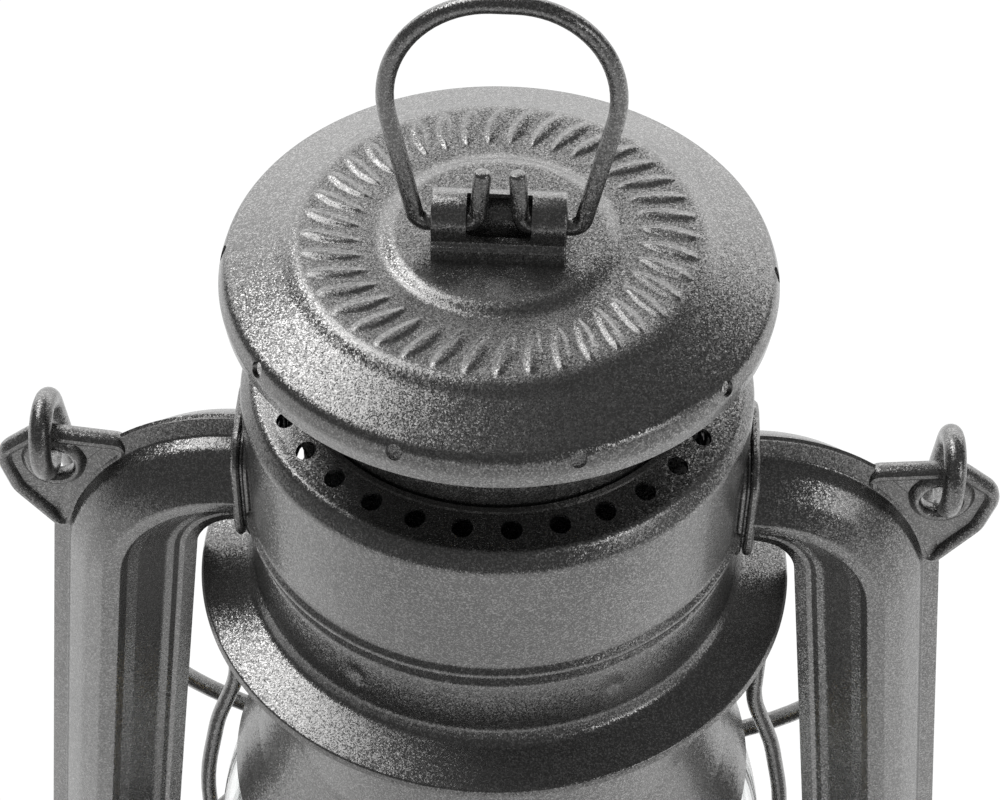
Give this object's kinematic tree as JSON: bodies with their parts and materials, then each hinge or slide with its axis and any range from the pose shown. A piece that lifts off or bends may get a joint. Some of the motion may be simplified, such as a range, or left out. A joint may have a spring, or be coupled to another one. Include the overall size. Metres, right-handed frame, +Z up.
{
  "type": "storm lantern",
  "caption": "Small tubular storm lantern in dark metallic enamel, with a glass globe, sprung chimney with lifting ring, side air tubes, round fuel tank and wire bail.",
  "frame": {"origin": "centre of the tank's base, on the surface it stands on", "axes": "+Z up through the chimney, +X towards the right-hand air tube, -Y towards the front with the wick knob"},
  "size_m": [0.1478, 0.1168, 0.2904],
  "materials": {
    "iron_paint": "sparkling dark grey metallic enamel, semi-gloss",
    "clear_glass": "clear blown glass",
    "brass": "satin brass",
    "spring_steel": "bright spring wire",
    "cotton": "woven cotton wick",
    "rubber": "black rubber"
  },
  "bodies": {
    "frame": {"tank_bottom": "iron_paint", "tank_top": "iron_paint", "filler_neck": "iron_paint", "air_chamber": "iron_paint", "burner_body": "brass", "burner_dome": "brass", "wick_tube": "brass", "guard_front": "iron_paint", "guard_back": "iron_paint", "lever_bracket": "iron_paint", "tube_front_left": "iron_paint", "tube_front_right": "iron_paint", "tube_back_left": "iron_paint", "tube_back_right": "iron_paint", "hood_collar_left": "iron_paint", "hood_collar_right": "iron_paint", "tube_foot_left": "iron_paint", "tube_foot_right": "iron_paint", "ear_left": "iron_paint", "ear_right": "iron_paint", "hood_shell": "iron_paint", "hood_skirt": "iron_paint", "hood_guide": "iron_paint", "chimney_spring": "spring_steel"},
    "filler": {"filler_cap": "iron_paint", "filler_gasket": "rubber"},
    "wick_feed": {"wick_shaft": "brass", "wick_wheels": "brass", "wick_knob": "brass"},
    "wick": {"wick": "cotton"},
    "carrier": {"globe_plate": "iron_paint", "globe": "clear_glass", "carrier_hoop": "iron_paint", "carrier_wire_left": "iron_paint", "carrier_wire_right": "iron_paint"},
    "chimney": {"globe_seat": "iron_paint", "chimney_tube": "iron_paint", "bell": "iron_paint", "spring_collar": "iron_paint", "cap": "iron_paint", "cap_stays": "iron_paint", "cap_bracket": "iron_paint"},
    "ring": {"top_ring": "iron_paint"},
    "lever": {"lift_lever": "iron_paint"},
    "bail": {"bail": "iron_paint"}
  },
  "joints": [
    {"name": "bail_swing", "type": "hinge", "parent": "frame", "child": "bail", "pos_m": [0, 0, 0.2183], "axis": [1, 0, 0], "range_deg": [0, 268]},
    {"name": "globe_lift", "type": "slide", "parent": "frame", "child": "carrier", "axis": [0, 0, 1], "range_m": [0, 0.007]},
    {"name": "lever_turn", "type": "hinge", "parent": "frame", "child": "lever", "pos_m": [0.044, -0.0125, 0.0855], "axis": [0, 1, 0], "range_deg": [0, 29.8]},
    {"name": "chimney_lift", "type": "slide", "parent": "carrier", "child": "chimney", "axis": [0, 0, 1], "range_m": [0, 0.015], "stiffness_N_per_m": 60, "springref_m": -0.02, "deforming": ["chimney_spring"]},
    {"name": "ring_fold", "type": "hinge", "parent": "chimney", "child": "ring", "pos_m": [0, -0.003, 0.2606], "axis": [1, 0, 0], "range_deg": [0, 85]},
    {"name": "wick_knob_turn", "type": "hinge", "parent": "frame", "child": "wick_feed", "pos_m": [0.00395, 0, 0.0843], "axis": [0, 1, 0], "range_deg": [-95, 150]},
    {"name": "wick_raise", "type": "slide", "parent": "frame", "child": "wick", "axis": [0, 0, 1], "range_m": [-0.005, 0.0078]},
    {"name": "filler_lift", "type": "slide", "parent": "frame", "child": "filler", "axis": [0, 0, 1], "range_m": [0, 0.012]}
  ],
  "couplings": [
    {"joint": "lever_turn", "follows": "globe_lift", "rad_per_m": 74.074},
    {"joint": "wick_raise", "follows": "wick_knob_turn", "m_per_rad": 0.00295}
  ]
}
